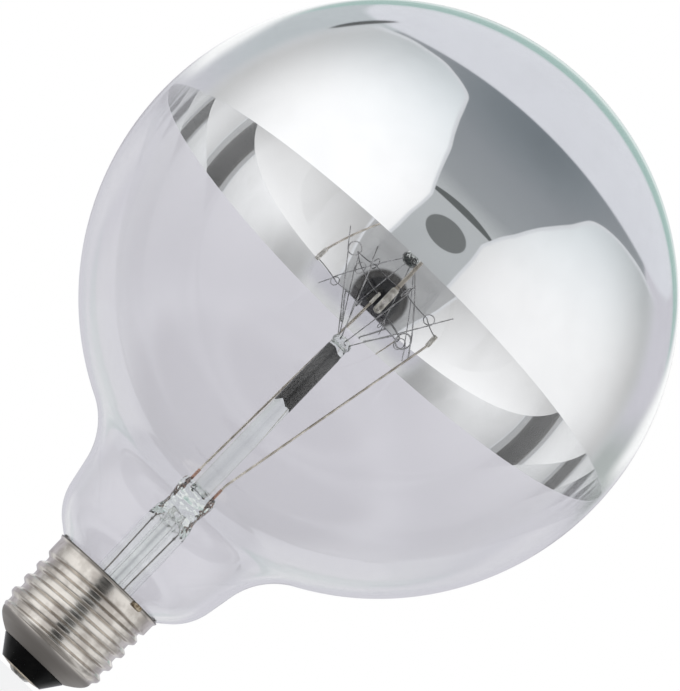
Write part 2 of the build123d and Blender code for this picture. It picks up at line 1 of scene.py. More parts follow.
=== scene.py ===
# A globe lamp with a mirrored crown, standing on its contact. Metres. The lamp's axis is Z, and
# its two leads show side by side from the front, which faces -Y.
from math import asin, atan2, cos, pi, radians, sin, sqrt, tan, tau

import bmesh
import bpy
from mathutils import Matrix, Vector


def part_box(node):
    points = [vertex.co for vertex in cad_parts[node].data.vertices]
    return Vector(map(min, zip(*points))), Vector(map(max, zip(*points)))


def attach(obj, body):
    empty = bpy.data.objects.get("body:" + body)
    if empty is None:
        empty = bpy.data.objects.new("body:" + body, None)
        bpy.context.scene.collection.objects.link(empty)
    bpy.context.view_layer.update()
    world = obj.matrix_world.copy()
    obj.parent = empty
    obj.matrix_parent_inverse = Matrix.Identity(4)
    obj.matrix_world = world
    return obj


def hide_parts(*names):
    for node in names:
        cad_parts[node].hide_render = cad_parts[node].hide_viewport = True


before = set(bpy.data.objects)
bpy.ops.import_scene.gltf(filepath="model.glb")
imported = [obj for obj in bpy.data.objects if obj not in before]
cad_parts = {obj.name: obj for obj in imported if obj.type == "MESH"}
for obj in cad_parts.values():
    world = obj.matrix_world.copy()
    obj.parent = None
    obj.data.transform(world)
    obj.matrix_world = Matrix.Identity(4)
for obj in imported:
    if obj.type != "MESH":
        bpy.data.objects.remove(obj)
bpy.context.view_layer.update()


# The stem is a lead-glass tube. Its foot is flared out to the neck, and its top is melted and
# pressed flat between two jaws round the wires, which leaves the press lumpy and full of streaks.
mm = 0.001
STEM_COLOUR = (0.985, 0.99, 0.985)
STEM_DEPTH_COLOUR = (0.60, 0.84, 0.74)
STEM_DENSITY = 34
PRESS_FROM = 42.5 * mm
PRESS_SPREAD = 2 * mm
PRESS_LUMP = 0.8 * mm
PRESS_LUMP_SIZE = 1.7 * mm
TUBE_RIPPLE = 0.008
MELTED_DETAIL = 1.3


def new_finish(name, colour, roughness, metallic=0.0):
    """A finish, its tree and its surface, with the values that are the same all over."""
    finish = bpy.data.materials.new(name)
    finish.use_nodes = True
    surface = finish.node_tree.nodes["Principled BSDF"]
    surface.inputs["Base Color"].default_value = (*colour, 1)
    surface.inputs["Roughness"].default_value = roughness
    surface.inputs["Metallic"].default_value = metallic
    return finish, finish.node_tree, surface


def grain(tree, size, stretch=(1, 1, 1), detail=3.0):
    """A cloudy grain fixed to the piece, with a size in metres, from 0 to 1."""
    place = tree.nodes.new("ShaderNodeTexCoord")
    scaled = tree.nodes.new("ShaderNodeMapping")
    scaled.inputs["Scale"].default_value = [way / size for way in stretch]
    tree.links.new(place.outputs["Object"], scaled.inputs["Vector"])
    cloud = tree.nodes.new("ShaderNodeTexNoise")
    cloud.inputs["Scale"].default_value = 1.0
    cloud.inputs["Detail"].default_value = detail
    tree.links.new(scaled.outputs["Vector"], cloud.inputs["Vector"])
    return cloud.outputs["Fac"]


def ranged(tree, value, low, high, to_low, to_high):
    """A value taken from one range to another, with a soft step at both ends."""
    step = tree.nodes.new("ShaderNodeMapRange")
    step.interpolation_type = "SMOOTHSTEP"
    for socket, number in zip(step.inputs[1:5], (low, high, to_low, to_high)):
        socket.default_value = number
    tree.links.new(value, step.inputs["Value"])
    return step.outputs["Result"]


def dented(tree, surface, height, depth):
    """The surface's normal, bent by a height."""
    bump = tree.nodes.new("ShaderNodeBump")
    bump.inputs["Distance"].default_value = depth
    tree.links.new(height, bump.inputs["Height"])
    tree.links.new(bump.outputs["Normal"], surface.inputs["Normal"])


def height_on(tree):
    """The height of a point of the piece."""
    place = tree.nodes.new("ShaderNodeTexCoord")
    split = tree.nodes.new("ShaderNodeSeparateXYZ")
    tree.links.new(place.outputs["Object"], split.inputs["Vector"])
    return split.outputs["Z"]


def joined(tree, operation, first, second=None):
    """One or two values, each a number or an output, put through one operation."""
    result = tree.nodes.new("ShaderNodeMath")
    result.operation = operation
    for socket, value in zip(result.inputs, (first, second)):
        if isinstance(value, (int, float)):
            socket.default_value = value
        elif value is not None:
            tree.links.new(value, socket)
    return result.outputs[0]


def clear_glass(name, colour, depth_colour, density):
    """Clear glass whose tint grows with its depth."""
    finish, tree, surface = new_finish(name, colour, 0.0)
    surface.inputs["Transmission Weight"].default_value = 1.0
    surface.inputs["IOR"].default_value = 1.5
    depth = tree.nodes.new("ShaderNodeVolumeAbsorption")
    depth.inputs["Color"].default_value = (*depth_colour, 1)
    depth.inputs["Density"].default_value = density
    tree.links.new(depth.outputs["Volume"], tree.nodes["Material Output"].inputs["Volume"])
    return finish, tree, surface


def finished(finish, *nodes):
    """Nodes of the frame given their finish."""
    for node in nodes:
        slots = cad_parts[node].data.materials
        slots.clear()
        slots.append(finish)


pressed_glass, tree, surface = clear_glass("pressed glass", STEM_COLOUR, STEM_DEPTH_COLOUR, STEM_DENSITY)
pressed = ranged(tree, height_on(tree), PRESS_FROM, PRESS_FROM + PRESS_SPREAD, TUBE_RIPPLE, 1.0)
lumps = grain(tree, PRESS_LUMP_SIZE, detail=MELTED_DETAIL)
dented(tree, surface, joined(tree, "MULTIPLY", lumps, pressed), PRESS_LUMP)
finished(pressed_glass, "stem_flare")


# The exhaust tube hangs from the press: the air was drawn out through it before its tip was
# melted shut. It is drawn glass, so its ripples run along it.
DRAWN_RIPPLE = 0.012 * mm
DRAWN_SIZE = 1.5 * mm
DRAWN_STRETCH = (1, 1, 0.1)

drawn_glass, tree, surface = clear_glass("drawn glass", STEM_COLOUR, STEM_DEPTH_COLOUR, STEM_DENSITY)
dented(tree, surface, grain(tree, DRAWN_SIZE, DRAWN_STRETCH, detail=1.0), DRAWN_RIPPLE)
finished(drawn_glass, "exhaust_tube")


# The arbor is a glass rod whose foot is melted into the press. Its top is melted to a button
# that grips the filament supports, with the marks of the pincers in it.
BUTTON_FROM = 94.3 * mm
BUTTON_SPREAD = 0.8 * mm
FOOT_FROM = 54.1 * mm
FOOT_SPREAD = 0.8 * mm
BUTTON_DENT = 0.55 * mm
BUTTON_DENT_SIZE = 0.9 * mm
ROD_RIPPLE = 0.012

rod_glass, tree, surface = clear_glass("rod glass", STEM_COLOUR, STEM_DEPTH_COLOUR, STEM_DENSITY)
pinched = ranged(tree, height_on(tree), BUTTON_FROM, BUTTON_FROM + BUTTON_SPREAD, ROD_RIPPLE, 1.0)
sunk = ranged(tree, height_on(tree), FOOT_FROM, FOOT_FROM + FOOT_SPREAD, 1.0, 0.0)
melted = joined(tree, "MAXIMUM", pinched, sunk)
dents = grain(tree, BUTTON_DENT_SIZE, detail=MELTED_DETAIL)
dented(tree, surface, joined(tree, "MULTIPLY", dents, melted), BUTTON_DENT)
finished(rod_glass, "arbor_rod")


# The coat is a dark paste brushed round the upper rod and fired on. It is smooth but uneven,
# and it ends in a ragged edge.
COAT_THICK = (0.022, 0.023, 0.025)
COAT_THIN = (0.040, 0.041, 0.043)
GRAIN_RANGE = (0.3, 0.7)
TINT_RANGE = (0.36, 0.64)
WORN_SHARES = (1.35, 0.75)


def streaked(name, dull, bright, *, size, roughness, dent, metallic=1.0, stretch=(1, 1, 1)):
    """A finish that wanders between two colours, and is rougher where it is duller."""
    finish, tree, surface = new_finish(name, bright, roughness, metallic)
    cloud = grain(tree, size, stretch)
    tint = tree.nodes.new("ShaderNodeValToRGB")
    for stop, position, colour in zip(tint.color_ramp.elements, TINT_RANGE, (dull, bright)):
        stop.position = position
        stop.color = (*colour, 1)
    tree.links.new(cloud, tint.inputs["Fac"])
    tree.links.new(tint.outputs["Color"], surface.inputs["Base Color"])
    worn = ranged(tree, cloud, *GRAIN_RANGE, *[share * roughness for share in WORN_SHARES])
    tree.links.new(worn, surface.inputs["Roughness"])
    dented(tree, surface, cloud, dent)
    return finish


coat = streaked(
    "dark coat",
    COAT_THICK,
    COAT_THIN,
    size=1.8 * mm,
    roughness=0.16,
    dent=0.012 * mm,
    metallic=0.0,
    stretch=(1, 1, 0.3),
)
finished(coat, "arbor_coat")


# The seal wires carry the current through the press. They are copper-clad, so that the glass
# wets them, and they have turned red-brown in the heat, with a welded stub at the top.
COPPER_DULL = (0.13, 0.07, 0.05)
COPPER_BRIGHT = (0.48, 0.26, 0.19)

copper = streaked(
    "copper clad wire", COPPER_DULL, COPPER_BRIGHT, size=0.8 * mm, roughness=0.32, dent=0.02 * mm
)
finished(copper, "seal_wire_left", "seal_wire_right")


# The inner leads are nickel-plated wire, welded to the stubs and bent out to the two ends of
# the filament. The plating has a warm straw tone.
LEAD_DULL = (0.46, 0.41, 0.34)
LEAD_BRIGHT = (0.82, 0.77, 0.69)

plating = streaked(
    "nickel plated wire", LEAD_DULL, LEAD_BRIGHT, size=2.5 * mm, roughness=0.3, dent=0.015 * mm
)
finished(plating, "inner_lead_left", "inner_lead_right")


# The clamps are short nickel sleeves, one on the top of each inner lead. Each is flattened round
# the filament's end and grips it there.
CLAMP_DULL = (0.42, 0.40, 0.35)
CLAMP_BRIGHT = (0.86, 0.84, 0.77)

nickel = streaked("clamp nickel", CLAMP_DULL, CLAMP_BRIGHT, size=0.7 * mm, roughness=0.3, dent=0.05 * mm)
finished(nickel, "lead_clamp_left", "lead_clamp_right")


# The supports are five thin molybdenum wires, stuck in the button while it was soft. Each is
# wound into one loop that holds the filament and ends in a straight tail.
SUPPORT_DULL = (0.30, 0.30, 0.305)
SUPPORT_BRIGHT = (0.60, 0.60, 0.61)

molybdenum = streaked(
    "molybdenum wire", SUPPORT_DULL, SUPPORT_BRIGHT, size=1.5 * mm, roughness=0.3, dent=0.01 * mm
)
finished(molybdenum, *[f"filament_support_{number}" for number in range(1, 6)])


# The filament is tungsten wire wound in a fine coil. It runs from clamp to clamp through the
# five loops, and sags a little between them. Every second place on its way is the low of a sag.
FILAMENT_ROUTE = (
    (14.25, 5.28, 111.15),
    (12.14, 1.04, 110.40),
    (10.04, -3.19, 111.45),
    (6.56, -6.87, 110.29),
    (3.08, -10.55, 110.94),
    (-1.01, -10.03, 110.07),
    (-5.09, -9.50, 110.99),
    (-7.51, -5.70, 110.49),
    (-9.92, -1.89, 111.80),
    (-8.36, 3.02, 110.70),
    (-6.79, 7.92, 111.41),
    (-3.71, 11.68, 110.38),
    (-0.64, 15.43, 111.15),
)
COIL_RADIUS = 0.10 * mm
COIL_WIRE = 0.032 * mm
COIL_PITCH = 0.15 * mm
COIL_STEPS = 9
COIL_SIDES = 5
TUNGSTEN_DULL = (0.20, 0.20, 0.21)
TUNGSTEN_BRIGHT = (0.45, 0.45, 0.46)


def skin(name, points, faces, sharp=35):
    """An object from points and faces, with its normals outwards and its sharp edges kept."""
    mesh = bpy.data.meshes.new(name)
    mesh.from_pydata(points, [], faces)
    shaped = bmesh.new()
    shaped.from_mesh(mesh)
    bmesh.ops.recalc_face_normals(shaped, faces=shaped.faces)
    shaped.to_mesh(mesh)
    shaped.free()
    mesh.shade_smooth()
    mesh.set_sharp_from_angle(angle=radians(sharp))
    piece = bpy.data.objects.new(name, mesh)
    bpy.context.scene.collection.objects.link(piece)
    return piece


def slack_line(stations, steps, span_steps=40):
    """Evenly spaced points along a route whose every second point is the low of a sag."""
    fine = []
    for start, low, end in zip(stations[0::2], stations[1::2], stations[2::2]):
        for step in range(span_steps):
            share = step / span_steps
            middle = 0.5 * (low + 0.5 * (start + end))
            fine.append(start.lerp(middle, share).lerp(middle.lerp(end, share), share))
    fine.append(stations[-1])
    lengths = [0.0]
    for before, after in zip(fine, fine[1:]):
        lengths.append(lengths[-1] + (after - before).length)
    line, place = [], 0
    for step in range(steps + 1):
        reach = lengths[-1] * step / steps
        while place < len(fine) - 2 and lengths[place + 1] < reach:
            place += 1
        share = (reach - lengths[place]) / (lengths[place + 1] - lengths[place])
        line.append(fine[place].lerp(fine[place + 1], share))
    return line


def wound_coil(name, line, turns):
    """A wire wound round a line, closed at both ends."""
    route = []
    for step, middle in enumerate(line):
        before, after = line[max(step - 1, 0)], line[min(step + 1, len(line) - 1)]
        along = (after - before).normalized()
        side = along.cross(Vector((0, 0, 1))).normalized()
        angle = tau * turns * step / (len(line) - 1)
        route.append(middle + (side * cos(angle) + along.cross(side) * sin(angle)) * COIL_RADIUS)
    points, faces = [], []
    for step, middle in enumerate(route):
        before, after = route[max(step - 1, 0)], route[min(step + 1, len(route) - 1)]
        along = (after - before).normalized()
        outward = (middle - line[step]).normalized()
        outward = (outward - along * outward.dot(along)).normalized()
        for corner in range(COIL_SIDES):
            angle = tau * corner / COIL_SIDES
            points.append(middle + (outward * cos(angle) + along.cross(outward) * sin(angle)) * COIL_WIRE)
    for step in range(len(route) - 1):
        for corner in range(COIL_SIDES):
            low, after = step * COIL_SIDES, (corner + 1) % COIL_SIDES
            faces.append((low + corner, low + after, low + COIL_SIDES + after, low + COIL_SIDES + corner))
    last = (len(route) - 1) * COIL_SIDES
    faces += [tuple(range(COIL_SIDES)), tuple(range(last, last + COIL_SIDES))]
    return skin(name, points, faces, sharp=80)


stations = [Vector(station) * mm for station in FILAMENT_ROUTE]
span = sum((after - before).length for before, after in zip(stations, stations[1:]))
coil_turns = round(span / COIL_PITCH)
coil = wound_coil("coiled_filament", slack_line(stations, coil_turns * COIL_STEPS), coil_turns)
tungsten = streaked("tungsten", TUNGSTEN_DULL, TUNGSTEN_BRIGHT, size=2 * mm, roughness=0.35, dent=0.002 * mm)
coil.data.materials.append(tungsten)
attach(coil, "root")
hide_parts("filament")


# The globe and neck are one bubble of clear glass, blown in a mould and left fire-smooth, with
# a 0.7 mm wall. The neck's end goes down into the cap and flares out over its rim.
GLASS_WALL = 0.7 * mm
NECK_TOP = 49.4 * mm
NECK_TOP_RADIUS = 22.2 * mm
NECK_TAPER = radians(11.3)
NECK_BEND = 15.8 * mm
SHOULDER_HEIGHT = 31.6 * mm
SHOULDER_BEND = 12.3 * mm
RIM_GLASS_HEIGHT = 26.4 * mm
RIM_GLASS_RADIUS = 12.1 * mm
NECK_STEP_HEIGHT = 22.0 * mm
NECK_END_RADIUS = 10.8 * mm
STEP_BEND = 2.0 * mm
GLASS_COLOUR = (0.995, 0.99, 0.995)
GLASS_DEPTH_COLOUR = (0.55, 0.82, 0.77)
GLASS_DENSITY = 30
GLASS_RIPPLE = 0.02 * mm
GLASS_RIPPLE_SIZE = 30 * mm
BEND_STEPS = 24
BUBBLE_STEPS = 116
ON_AXIS = 0.0001 * mm

globe_low, globe_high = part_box("globe_glass")
globe_radius = min(globe_high.x, globe_high.y, -globe_low.x, -globe_low.y)
globe_centre = globe_high.z - globe_radius
neck_end = globe_low.z
shoulder_radius = NECK_TOP_RADIUS - (NECK_TOP - SHOULDER_HEIGHT) * tan(NECK_TAPER)


def turned(name, outline, around=256):
    """A closed skin turned about the lamp's axis, from an outline of radius and height."""
    points, rings, faces = [], [], []
    for radius, height in outline:
        if radius < ON_AXIS:
            rings.append([len(points)] * around)
            points.append((0, 0, height))
        else:
            rings.append(list(range(len(points), len(points) + around)))
            for step in range(around):
                angle = tau * step / around
                points.append((radius * cos(angle), radius * sin(angle), height))
    for low, high in zip(rings, rings[1:] + rings[:1]):
        for step in range(around):
            after = (step + 1) % around
            corners = [low[step], low[after], high[after], high[step]]
            kept = [c for place, c in enumerate(corners) if c != corners[place - 1]]
            if len(kept) > 2:
                faces.append(kept)
    return skin(name, points, faces)


def arc(centre, radius, start, end, steps):
    """Points of a round stretch, by its angles at the centre, as radius and height."""
    angles = [start + (end - start) * step / steps for step in range(steps + 1)]
    return [(centre[0] + radius * cos(a), centre[1] + radius * sin(a)) for a in angles]


def moved_in(points, depth):
    """A run of corners moved in by a depth, to the left of the way it goes."""
    runs = []
    for a, b in zip(points, points[1:]):
        along = (Vector(b) - Vector(a)).normalized()
        shift = Vector((-along.y, along.x)) * depth
        runs.append((Vector(a) + shift, along, Vector(b) + shift))
    corners = [runs[0][0]]
    for (start, along, _), (other, way, _) in zip(runs, runs[1:]):
        cross = along.x * way.y - along.y * way.x
        gap = other - start
        corners.append(start + along * ((gap.x * way.y - gap.y * way.x) / cross))
    return corners + [runs[-1][2]]


def rounded(points, bends, depth, steps=12):
    """The moved-in run with each corner bent round; a bend opens out or tightens with the depth."""
    corners = moved_in(points, depth)
    path = [tuple(corners[0])]
    for before, corner, after, bend in zip(corners, corners[1:], corners[2:], bends):
        along, way = (corner - before).normalized(), (after - corner).normalized()
        turn = atan2(along.x * way.y - along.y * way.x, along.dot(way))
        radius = bend - depth if turn > 0 else bend + depth
        side = 1 if turn > 0 else -1
        start = corner - along * radius * tan(abs(turn) / 2)
        centre = start + Vector((-along.y, along.x)) * radius * side
        first = atan2(start.y - centre.y, start.x - centre.x)
        path += arc(centre, radius, first, first + turn, steps)
    return path + [tuple(corners[-1])]


def globe_side(depth):
    """The glass's outline from the neck's end to the crown, at a depth below its outer face."""
    corners = [
        (NECK_END_RADIUS, neck_end),
        (NECK_END_RADIUS, NECK_STEP_HEIGHT),
        (RIM_GLASS_RADIUS, RIM_GLASS_HEIGHT),
        (shoulder_radius, SHOULDER_HEIGHT),
        (NECK_TOP_RADIUS, NECK_TOP),
    ]
    neck = rounded(corners, [STEP_BEND, STEP_BEND, SHOULDER_BEND], depth)[:-1]
    along = Vector((sin(NECK_TAPER), cos(NECK_TAPER)))
    outwards = Vector((along.y, -along.x))
    bend = NECK_BEND + depth
    start = Vector((NECK_TOP_RADIUS, NECK_TOP)) - outwards * depth + outwards * bend
    from_globe = start - Vector((0, globe_centre))
    reach = globe_radius - depth + bend
    half = from_globe.dot(along)
    slide = -half - sqrt(half * half - from_globe.length_squared + reach * reach)
    centre = start + along * slide
    to_globe = Vector((0, globe_centre)) - centre
    first = atan2(-outwards.y, -outwards.x)
    last = atan2(to_globe.y, to_globe.x)
    fillet = arc(centre, bend, first % tau, last % tau, BEND_STEPS)
    rise = atan2(-to_globe.y, -to_globe.x)
    bubble = arc((0, globe_centre), globe_radius - depth, rise, pi / 2, BUBBLE_STEPS)
    return neck + fillet + bubble[1:-1] + [(0, globe_centre + globe_radius - depth)]


globe = turned("globe", globe_side(0) + globe_side(GLASS_WALL)[::-1])
blown_glass, tree, surface = clear_glass("blown glass", GLASS_COLOUR, GLASS_DEPTH_COLOUR, GLASS_DENSITY)
dented(tree, surface, grain(tree, GLASS_RIPPLE_SIZE, detail=1.0), GLASS_RIPPLE)
globe.data.materials.append(blown_glass)
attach(globe, "root")
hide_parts("globe_glass")


# The mirror is aluminium laid on the inside of the glass as a vapour, from the crown down to a
# straight edge at the globe's middle. It has a few pinholes and thin places.
MIRROR_GAP = 0.03 * mm
MIRROR_FILM = 0.06 * mm
MIRROR_COLOUR = (0.91, 0.915, 0.92)
MIRROR_THIN = (0.88, 0.885, 0.89)
PINHOLE = (0.62, 0.62, 0.61)
PINHOLE_APART = 24 * mm
PINHOLE_RADIUS = 0.216 * mm
THIN_SIZE = 12 * mm
THIN_RANGE = (0.3, 0.6)
MIRROR_ROUGHNESS = 0.012
MIRROR_STEPS = 160
mirror_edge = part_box("crown_mirror")[0].z
pinhole = PINHOLE_RADIUS / PINHOLE_APART


def laid_over(tree, under, over, share):
    """One colour laid over another by a share; each is a colour or an output."""
    layers = tree.nodes.new("ShaderNodeMix")
    layers.data_type = "RGBA"
    tree.links.new(share, layers.inputs["Factor"])
    for socket, value in zip(layers.inputs[6:8], (under, over)):
        if isinstance(value, tuple):
            socket.default_value = (*value, 1)
        else:
            tree.links.new(value, socket)
    return layers.outputs[2]


def mirror_arc(radius):
    """The film's outline at one radius, from its edge to the crown."""
    rise = asin((mirror_edge - globe_centre) / radius)
    return arc((0, globe_centre), radius, rise, pi / 2, MIRROR_STEPS)[:-1] + [(0, globe_centre + radius)]


mirror_radius = globe_radius - GLASS_WALL - MIRROR_GAP
mirror = turned("mirror", mirror_arc(mirror_radius) + mirror_arc(mirror_radius - MIRROR_FILM)[::-1])
mirror_finish, tree, surface = new_finish("mirror film", MIRROR_COLOUR, MIRROR_ROUGHNESS, metallic=1.0)
full = ranged(tree, grain(tree, THIN_SIZE), *THIN_RANGE, 0, 1)
film = laid_over(tree, MIRROR_THIN, MIRROR_COLOUR, full)
spots = tree.nodes.new("ShaderNodeTexVoronoi")
spots.inputs["Scale"].default_value = 1 / PINHOLE_APART
spot_place = tree.nodes.new("ShaderNodeTexCoord")
tree.links.new(spot_place.outputs["Object"], spots.inputs["Vector"])
unpitted = ranged(tree, spots.outputs["Distance"], pinhole, 2 * pinhole, 0, 1)
tree.links.new(laid_over(tree, PINHOLE, film, unpitted), surface.inputs["Base Color"])
mirror.data.materials.append(mirror_finish)
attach(mirror, "root")
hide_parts("crown_mirror")


# The screw shell is thin nickel-plated brass, rolled into a round thread on a former. The
# rolled part is bright, with fine marks round it. The cone below is matt, and the rim turned out.
CAP_RADIUS = 13.0 * mm
CAP_WALL = 0.3 * mm
CAP_LIP = 0.35 * mm
THREAD_PITCH = 3.629 * mm
THREAD_DEPTH = 0.95 * mm
THREAD_CREST = 10.4 * mm
THREAD_TOP = 23.1 * mm
CONE_TOP = 8.8 * mm
CONE_RADIUS = 8.1 * mm
CONE_BOTTOM = 5.0 * mm
CONE_BULGE = 0.95
THREAD_FILL = 0.96
CREST_RANGE = (0.12, 0.95)
LEAD_IN_RANGE = (CONE_TOP - 0.5 * mm, CONE_TOP + 1.8 * mm)
SKIRT_RANGE = (THREAD_TOP - 0.1 * mm, THREAD_TOP + 0.55 * mm)
LIP_FROM = 0.9 * mm
LIP_TO = 0.1 * mm
SHELL_AROUND = 256
SHELL_STEPS = 180
CAP_COLOUR = (0.74, 0.705, 0.66)
CAP_STAIN = (0.50, 0.465, 0.43)
CONE_COLOUR = (0.33, 0.31, 0.295)
RIM_SHADE_AND_RESIDUE = (0.16, 0.15, 0.135)
RIM_LINE = 0.28 * mm
RIM_SOFT = 0.06 * mm
STAIN_SIZE = 4.5 * mm
STAIN_DETAIL = 5.0
STAIN_RANGE = (0.36, 0.6)
ROLLING_SIZE = 1 * mm
ROLLING_STRETCH = (0.05, 0.05, 1)
ROLLING_DETAIL = 4.0
ROLLING_DEPTH = 0.008 * mm
CONE_EDGE = (CONE_TOP - 0.5 * mm, CONE_TOP + 0.3 * mm)
MATT_EDGE = (CONE_TOP - 0.6 * mm, CONE_TOP + 0.4 * mm)
CAP_SHINE = (0.13, 0.26)
CONE_SHINE = 0.5
thread_root = CAP_RADIUS - THREAD_DEPTH
cap_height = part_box("cap_shell")[1].z


def smooth(low, high, value):
    """0 below low, 1 above high, and a soft step between."""
    share = min(max((value - low) / (high - low), 0.0), 1.0)
    return share * share * (3 - 2 * share)


def cap_side(height, angle):
    """The shell's outer radius at a height and an angle."""
    crest = (height - THREAD_CREST) / THREAD_PITCH - angle / tau
    wave = 0.5 + 0.5 * cos(tau * crest)
    lift = smooth(*CREST_RANGE, wave) * smooth(*LEAD_IN_RANGE, height)
    thread = thread_root + lift * THREAD_DEPTH * THREAD_FILL
    radius = thread + (CAP_RADIUS - thread) * smooth(*SKIRT_RANGE, height)
    radius += CAP_LIP * smooth(cap_height - LIP_FROM, cap_height - LIP_TO, height)
    if height < CONE_TOP:
        share = (height - CONE_BOTTOM) / (CONE_TOP - CONE_BOTTOM)
        cone = CONE_RADIUS + (thread_root - CONE_RADIUS) * sin(share * pi / 2) ** CONE_BULGE
        radius = min(radius, cone)
    return radius


def threaded_shell(name, around, steps):
    """The shell's outer and inner faces, joined at both ends."""
    points, faces = [], []
    heights = [CONE_BOTTOM + (cap_height - CONE_BOTTOM) * step / steps for step in range(steps + 1)]
    for inset, order in ((0.0, heights), (CAP_WALL, heights[::-1])):
        for height in order:
            for step in range(around):
                angle = tau * step / around
                radius = cap_side(height, angle) - inset
                points.append((radius * cos(angle), radius * sin(angle), height))
    rings = 2 * (steps + 1)
    for ring in range(rings):
        for step in range(around):
            after = (step + 1) % around
            low, high = ring * around, (ring + 1) % rings * around
            faces.append((low + step, low + after, high + after, high + step))
    return skin(name, points, faces)


shell = threaded_shell("screw_shell", SHELL_AROUND, SHELL_STEPS)
plated, tree, surface = new_finish("nickel plated brass", CAP_COLOUR, CAP_SHINE[0], metallic=1.0)
height = height_on(tree)
clean = ranged(tree, grain(tree, STAIN_SIZE, detail=STAIN_DETAIL), *STAIN_RANGE, 0, 1)
stained = laid_over(tree, CAP_STAIN, CAP_COLOUR, clean)
above_cone = ranged(tree, height, *CONE_EDGE, 0, 1)
coned = laid_over(tree, CONE_COLOUR, stained, above_cone)
# A thin dark line round the shell's top edge is painted: partly shade in the seam with the glass, partly
# residue there.
rim_from = cap_height - RIM_LINE
at_rim_shade = ranged(tree, height, rim_from - RIM_SOFT, rim_from + RIM_SOFT, 0, 1)
tree.links.new(laid_over(tree, coned, RIM_SHADE_AND_RESIDUE, at_rim_shade), surface.inputs["Base Color"])
rolling = grain(tree, ROLLING_SIZE, ROLLING_STRETCH, ROLLING_DETAIL)
matt = ranged(tree, height, *MATT_EDGE, CONE_SHINE - CAP_SHINE[0], 0)
rolled = ranged(tree, rolling, *GRAIN_RANGE, *CAP_SHINE)
tree.links.new(joined(tree, "ADD", rolled, matt), surface.inputs["Roughness"])
dented(tree, surface, rolling, ROLLING_DEPTH)
shell.data.materials.append(plated)
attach(shell, "root")
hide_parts("cap_shell")


# The cement is a baked resin and marble-dust paste, which fills the ring between the neck and
# the shell. It is coarse and matt.
CEMENT_DARK = (0.30, 0.25, 0.18)
CEMENT_PALE = (0.50, 0.44, 0.34)

cement = streaked(
    "cap cement", CEMENT_DARK, CEMENT_PALE, size=0.8 * mm, roughness=0.95, dent=0.12 * mm, metallic=0.0
)
finished(cement, "cap_cement")


# The insulator is black glass, cast hot into the shell's lower end. It is glossy and a little
# wavy from the mould, with small worn spots.
INSULATOR_END = 1.0 * mm
INSULATOR_END_RADIUS = 5.2 * mm
CONTACT_RADIUS = 4.8 * mm
CONTACT_WALL = 0.3 * mm
CONTACT_EYE = 1.1 * mm
SEAT_GAP = 0.05 * mm
BLACK = (0.002, 0.002, 0.0025)
BLACK_WORN = (0.006, 0.006, 0.006)
BLACK_SPECULAR = 0.1
POUR_STEP = 1.6 * mm
POUR_RISE = 1.4 * mm
POUR_SIDE = (0.6 * thread_root, 6.2 * mm)
POUR_DIP = (2.2 * mm, 5.4 * mm)
EYE_TOP = 2.8 * mm
bore = thread_root - CAP_WALL - SEAT_GAP
mouth = CONE_RADIUS - CAP_WALL - SEAT_GAP
insulator_corners = (
    (CONTACT_EYE, INSULATOR_END + CONTACT_WALL),
    (CONTACT_RADIUS, INSULATOR_END + CONTACT_WALL),
    (CONTACT_RADIUS, INSULATOR_END),
    (INSULATOR_END_RADIUS, INSULATOR_END),
    (CONE_RADIUS, CONE_BOTTOM - SEAT_GAP),
    (mouth, CONE_BOTTOM),
    (mouth + POUR_STEP, CONE_BOTTOM + POUR_RISE),
    (bore, CONE_TOP),
    POUR_SIDE,
    POUR_DIP,
    (CONTACT_EYE, EYE_TOP),
)
insulator_bends = [bend * mm for bend in (0.05, 0.05, 0.25, 0.1, 0.02, 0.8, 0.1, 1.5, 0.4)]

insulator = turned("insulator", rounded(insulator_corners, insulator_bends, depth=0, steps=5))
black_glass = streaked(
    "black glass", BLACK, BLACK_WORN, size=2.2 * mm, roughness=0.16, dent=0.04 * mm, metallic=0.0
)
surface = black_glass.node_tree.nodes["Principled BSDF"]
surface.inputs["Specular IOR Level"].default_value = BLACK_SPECULAR
insulator.data.materials.append(black_glass)
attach(insulator, "root")
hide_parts("cap_insulator")


# The contact is a small brass plate, pressed to a shallow dish and set in the hot glass. Its
# colour is painted darker, as painted shade on its underside, which faces down, away from the light.
SHADED_BRASS_DULL = (0.20, 0.15, 0.09)
SHADED_BRASS_BRIGHT = (0.52, 0.42, 0.27)

brass = streaked("shaded contact brass", SHADED_BRASS_DULL, SHADED_BRASS_BRIGHT, size=1.1 * mm, roughness=0.3, dent=0.03 * mm)
finished(brass, "centre_contact")


# The outer leads are thin oxidised wires. One runs down the axis to the contact, and the other
# comes out over the neck's end to the rim of the shell.
OUTER_DULL = (0.07, 0.06, 0.055)
OUTER_BRIGHT = (0.22, 0.20, 0.185)

oxidised = streaked("oxidised wire", OUTER_DULL, OUTER_BRIGHT, size=1.5 * mm, roughness=0.4, dent=0.01 * mm)
finished(oxidised, "outer_lead_contact", "outer_lead_rim")


# Both leads are soldered, one in the eye of the contact and one in a notch of the shell's rim.
# The solder is soft and grey, and stained brown by the flux at the rim.
SOLDER_DULL = (0.24, 0.235, 0.225)
SOLDER_BRIGHT = (0.55, 0.55, 0.54)
FLUX_DARK = (0.13, 0.09, 0.05)
FLUX_PALE = (0.42, 0.36, 0.27)

solder = streaked("soft solder", SOLDER_DULL, SOLDER_BRIGHT, size=1.0 * mm, roughness=0.28, dent=0.06 * mm)
fluxed = streaked("fluxed solder", FLUX_DARK, FLUX_PALE, size=0.8 * mm, roughness=0.32, dent=0.06 * mm)
finished(solder, "contact_solder")
finished(fluxed, "rim_solder")


